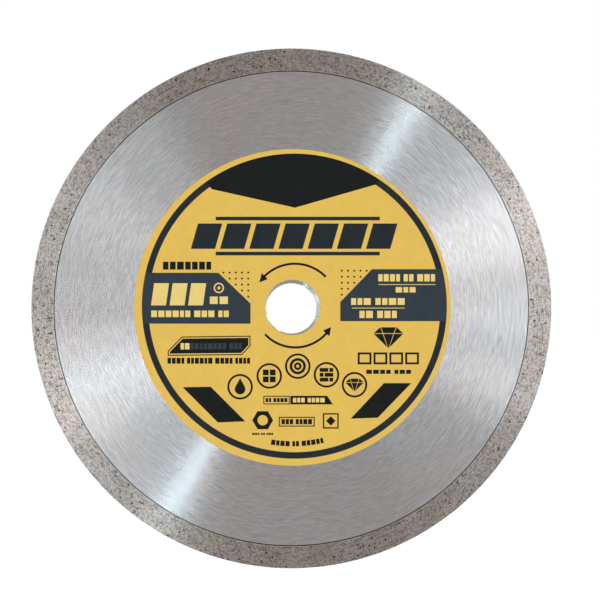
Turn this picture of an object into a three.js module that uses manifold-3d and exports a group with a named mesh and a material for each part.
// A 230 mm continuous-rim diamond blade for wet cutting of ceramic tile.
// Millimetres, +Z up. The blade stands upright like a wheel: it spins about the Y axis, its labelled
// front face looks along -Y, and the origin is the centre of the arbor bore, on the core's mid-plane.
import * as THREE from "three";
import { mergeVertices } from "three/addons/utils/BufferGeometryUtils.js";
import Module from "manifold-3d";

// ---- driving dimensions ----
const bladeDiameter = 230;
const boreDiameter = 22.23; // the 7/8 inch arbor that blades of this size are made for
const coreThickness = 1.8;
const rimThickness = 2.4; // proud of the core on both faces, for side clearance in the cut
const rimHeight = 10; // radial height of the sintered diamond ring

const boreChamfer = 0.2;
const rimCornerChamfer = 0.15;
const rimFootChamfer = 0.1;

// The core's edge ends in a thinner, notched tongue that keys the rim in place.
const tongueThickness = 1.0;
const tongueHeight = 2.6;
const notchCount = 60;
const notchDepth = 1.6;
const notchShare = 0.4; // part of each pitch that the notch takes at the tongue's tip
const tongueRoot = 3; // how far the tongue ring runs into the core, where the two are one piece
const bondGap = 0.05; // clearance left between the core and the rim sintered round it

const labelDiameter = 140;
const labelHoleDiameter = 24.4;
const labelOffset = { x: 0.55, z: 0.45 }; // stuck on by hand, a little off the bore's centre
const adhesiveThickness = 0.03;
const filmThickness = 0.09;

const discSegments = 180;
const labelSegments = 144;
const arcSteps = 3; // straight steps in each tooth's and each notch's arc

// ---- radii that follow from them ----
const bladeRadius = bladeDiameter / 2;
const boreRadius = boreDiameter / 2;
const rimInnerRadius = bladeRadius - rimHeight;
const coreRadius = rimInnerRadius - bondGap;

// ---- geometry helpers ----
const wasm = await Module();
wasm.setup();

function toSolid(geometry) {
  const bare = geometry.clone();
  bare.deleteAttribute("normal");
  bare.deleteAttribute("uv");
  const merged = mergeVertices(bare, 1e-4);
  const mesh = new wasm.Mesh({
    numProp: 3,
    vertProperties: new Float32Array(merged.attributes.position.array),
    triVerts: new Uint32Array(merged.index.array),
  });
  return new wasm.Manifold(mesh);
}

function toGeometry(solid) {
  const mesh = solid.getMesh();
  const geometry = new THREE.BufferGeometry();
  geometry.setAttribute("position", new THREE.BufferAttribute(mesh.vertProperties, 3));
  geometry.setIndex(new THREE.BufferAttribute(mesh.triVerts, 1));
  geometry.computeVertexNormals();
  return geometry;
}

// A body of revolution about the Y axis from a closed profile of [radius, y] corners.
function revolve(profile, segments) {
  const corners = profile.map(([radius, y]) => new THREE.Vector2(radius, y));
  corners.push(corners[0].clone());
  return new THREE.LatheGeometry(corners, segments);
}

// A flat ring with square edges between two radii and two heights on the Y axis.
function flatRing(innerRadius, outerRadius, yLow, yHigh, segments) {
  const profile = [
    [innerRadius, yLow],
    [outerRadius, yLow],
    [outerRadius, yHigh],
    [innerRadius, yHigh],
  ];
  return revolve(profile, segments);
}

// Adds an arc's points to an outline, in the plane that the blade lies in.
function addArc(points, radius, fromAngle, toAngle, steps) {
  for (let i = 0; i <= steps; i += 1) {
    const angle = fromAngle + ((toAngle - fromAngle) * i) / steps;
    points.push(new THREE.Vector2(radius * Math.cos(angle), radius * Math.sin(angle)));
  }
}

// The tongue as a notched ring. grow makes it larger on every side, for the groove that it sits in.
function tongue(grow) {
  const tipRadius = coreRadius + tongueHeight + grow;
  const notchRadius = coreRadius + tongueHeight - notchDepth + grow;
  const pitch = (2 * Math.PI) / notchCount;
  const halfTooth = ((1 - notchShare) * pitch) / 2 + grow / tipRadius;
  const outline = [];
  for (let i = 0; i < notchCount; i += 1) {
    const middle = i * pitch;
    addArc(outline, tipRadius, middle - halfTooth, middle + halfTooth, arcSteps);
    addArc(outline, notchRadius, middle + halfTooth, middle + pitch - halfTooth, arcSteps);
  }
  const shape = new THREE.Shape(outline);
  const inner = [];
  addArc(inner, coreRadius - tongueRoot, 0, 2 * Math.PI, discSegments);
  inner.pop(); // the last point repeats the first
  shape.holes.push(new THREE.Path(inner));

  const depth = tongueThickness + 2 * grow;
  const geometry = new THREE.ExtrudeGeometry(shape, { depth, bevelEnabled: false });
  geometry.rotateX(Math.PI / 2);
  geometry.translate(0, depth / 2, 0);
  return geometry;
}

// ---- sub-parts ----
function steelCore() {
  const half = coreThickness / 2;
  const body = revolve(
    [
      [boreRadius, -half + boreChamfer],
      [boreRadius + boreChamfer, -half],
      [coreRadius, -half],
      [coreRadius, half],
      [boreRadius + boreChamfer, half],
      [boreRadius, half - boreChamfer],
    ],
    discSegments,
  );
  return toGeometry(toSolid(body).add(toSolid(tongue(0))));
}

function diamondRim() {
  const half = rimThickness / 2;
  const body = revolve(
    [
      [rimInnerRadius, -half + rimFootChamfer],
      [rimInnerRadius + rimFootChamfer, -half],
      [bladeRadius - rimCornerChamfer, -half],
      [bladeRadius, -half + rimCornerChamfer],
      [bladeRadius, half - rimCornerChamfer],
      [bladeRadius - rimCornerChamfer, half],
      [rimInnerRadius + rimFootChamfer, half],
      [rimInnerRadius, half - rimFootChamfer],
    ],
    discSegments,
  );
  return toGeometry(toSolid(body).subtract(toSolid(tongue(bondGap))));
}

// One layer of the label, lying between two heights on the Y axis.
function labelLayer(yLow, yHigh) {
  return flatRing(labelHoleDiameter / 2, labelDiameter / 2, yLow, yHigh, labelSegments);
}

// ---- materials ----
const materials = {
  brushedSteel: new THREE.MeshStandardMaterial({ color: 0xb9b6b3, roughness: 0.34, metalness: 1 }),
  sinteredRim: new THREE.MeshStandardMaterial({ color: 0x9a8f85, roughness: 0.75, metalness: 0.4 }),
  adhesive: new THREE.MeshStandardMaterial({ color: 0xd9cfae, roughness: 0.8, metalness: 0 }),
  yellowFilm: new THREE.MeshStandardMaterial({ color: 0xe8c156, roughness: 0.35, metalness: 0 }),
};

// ---- assembly ----
function namedMesh(name, geometry, material) {
  const mesh = new THREE.Mesh(geometry, material);
  mesh.name = name;
  return mesh;
}

const coreFront = -coreThickness / 2;
const adhesiveFront = coreFront - adhesiveThickness;
const filmFront = adhesiveFront - filmThickness;

const label = new THREE.Group();
label.position.set(labelOffset.x, 0, labelOffset.z);
label.add(namedMesh("label_adhesive", labelLayer(adhesiveFront, coreFront), materials.adhesive));
label.add(namedMesh("label_film", labelLayer(filmFront, adhesiveFront), materials.yellowFilm));

const blade = new THREE.Group();
blade.add(namedMesh("steel_core", steelCore(), materials.brushedSteel));
blade.add(namedMesh("diamond_rim", diamondRim(), materials.sinteredRim));
blade.add(label);

export default blade;
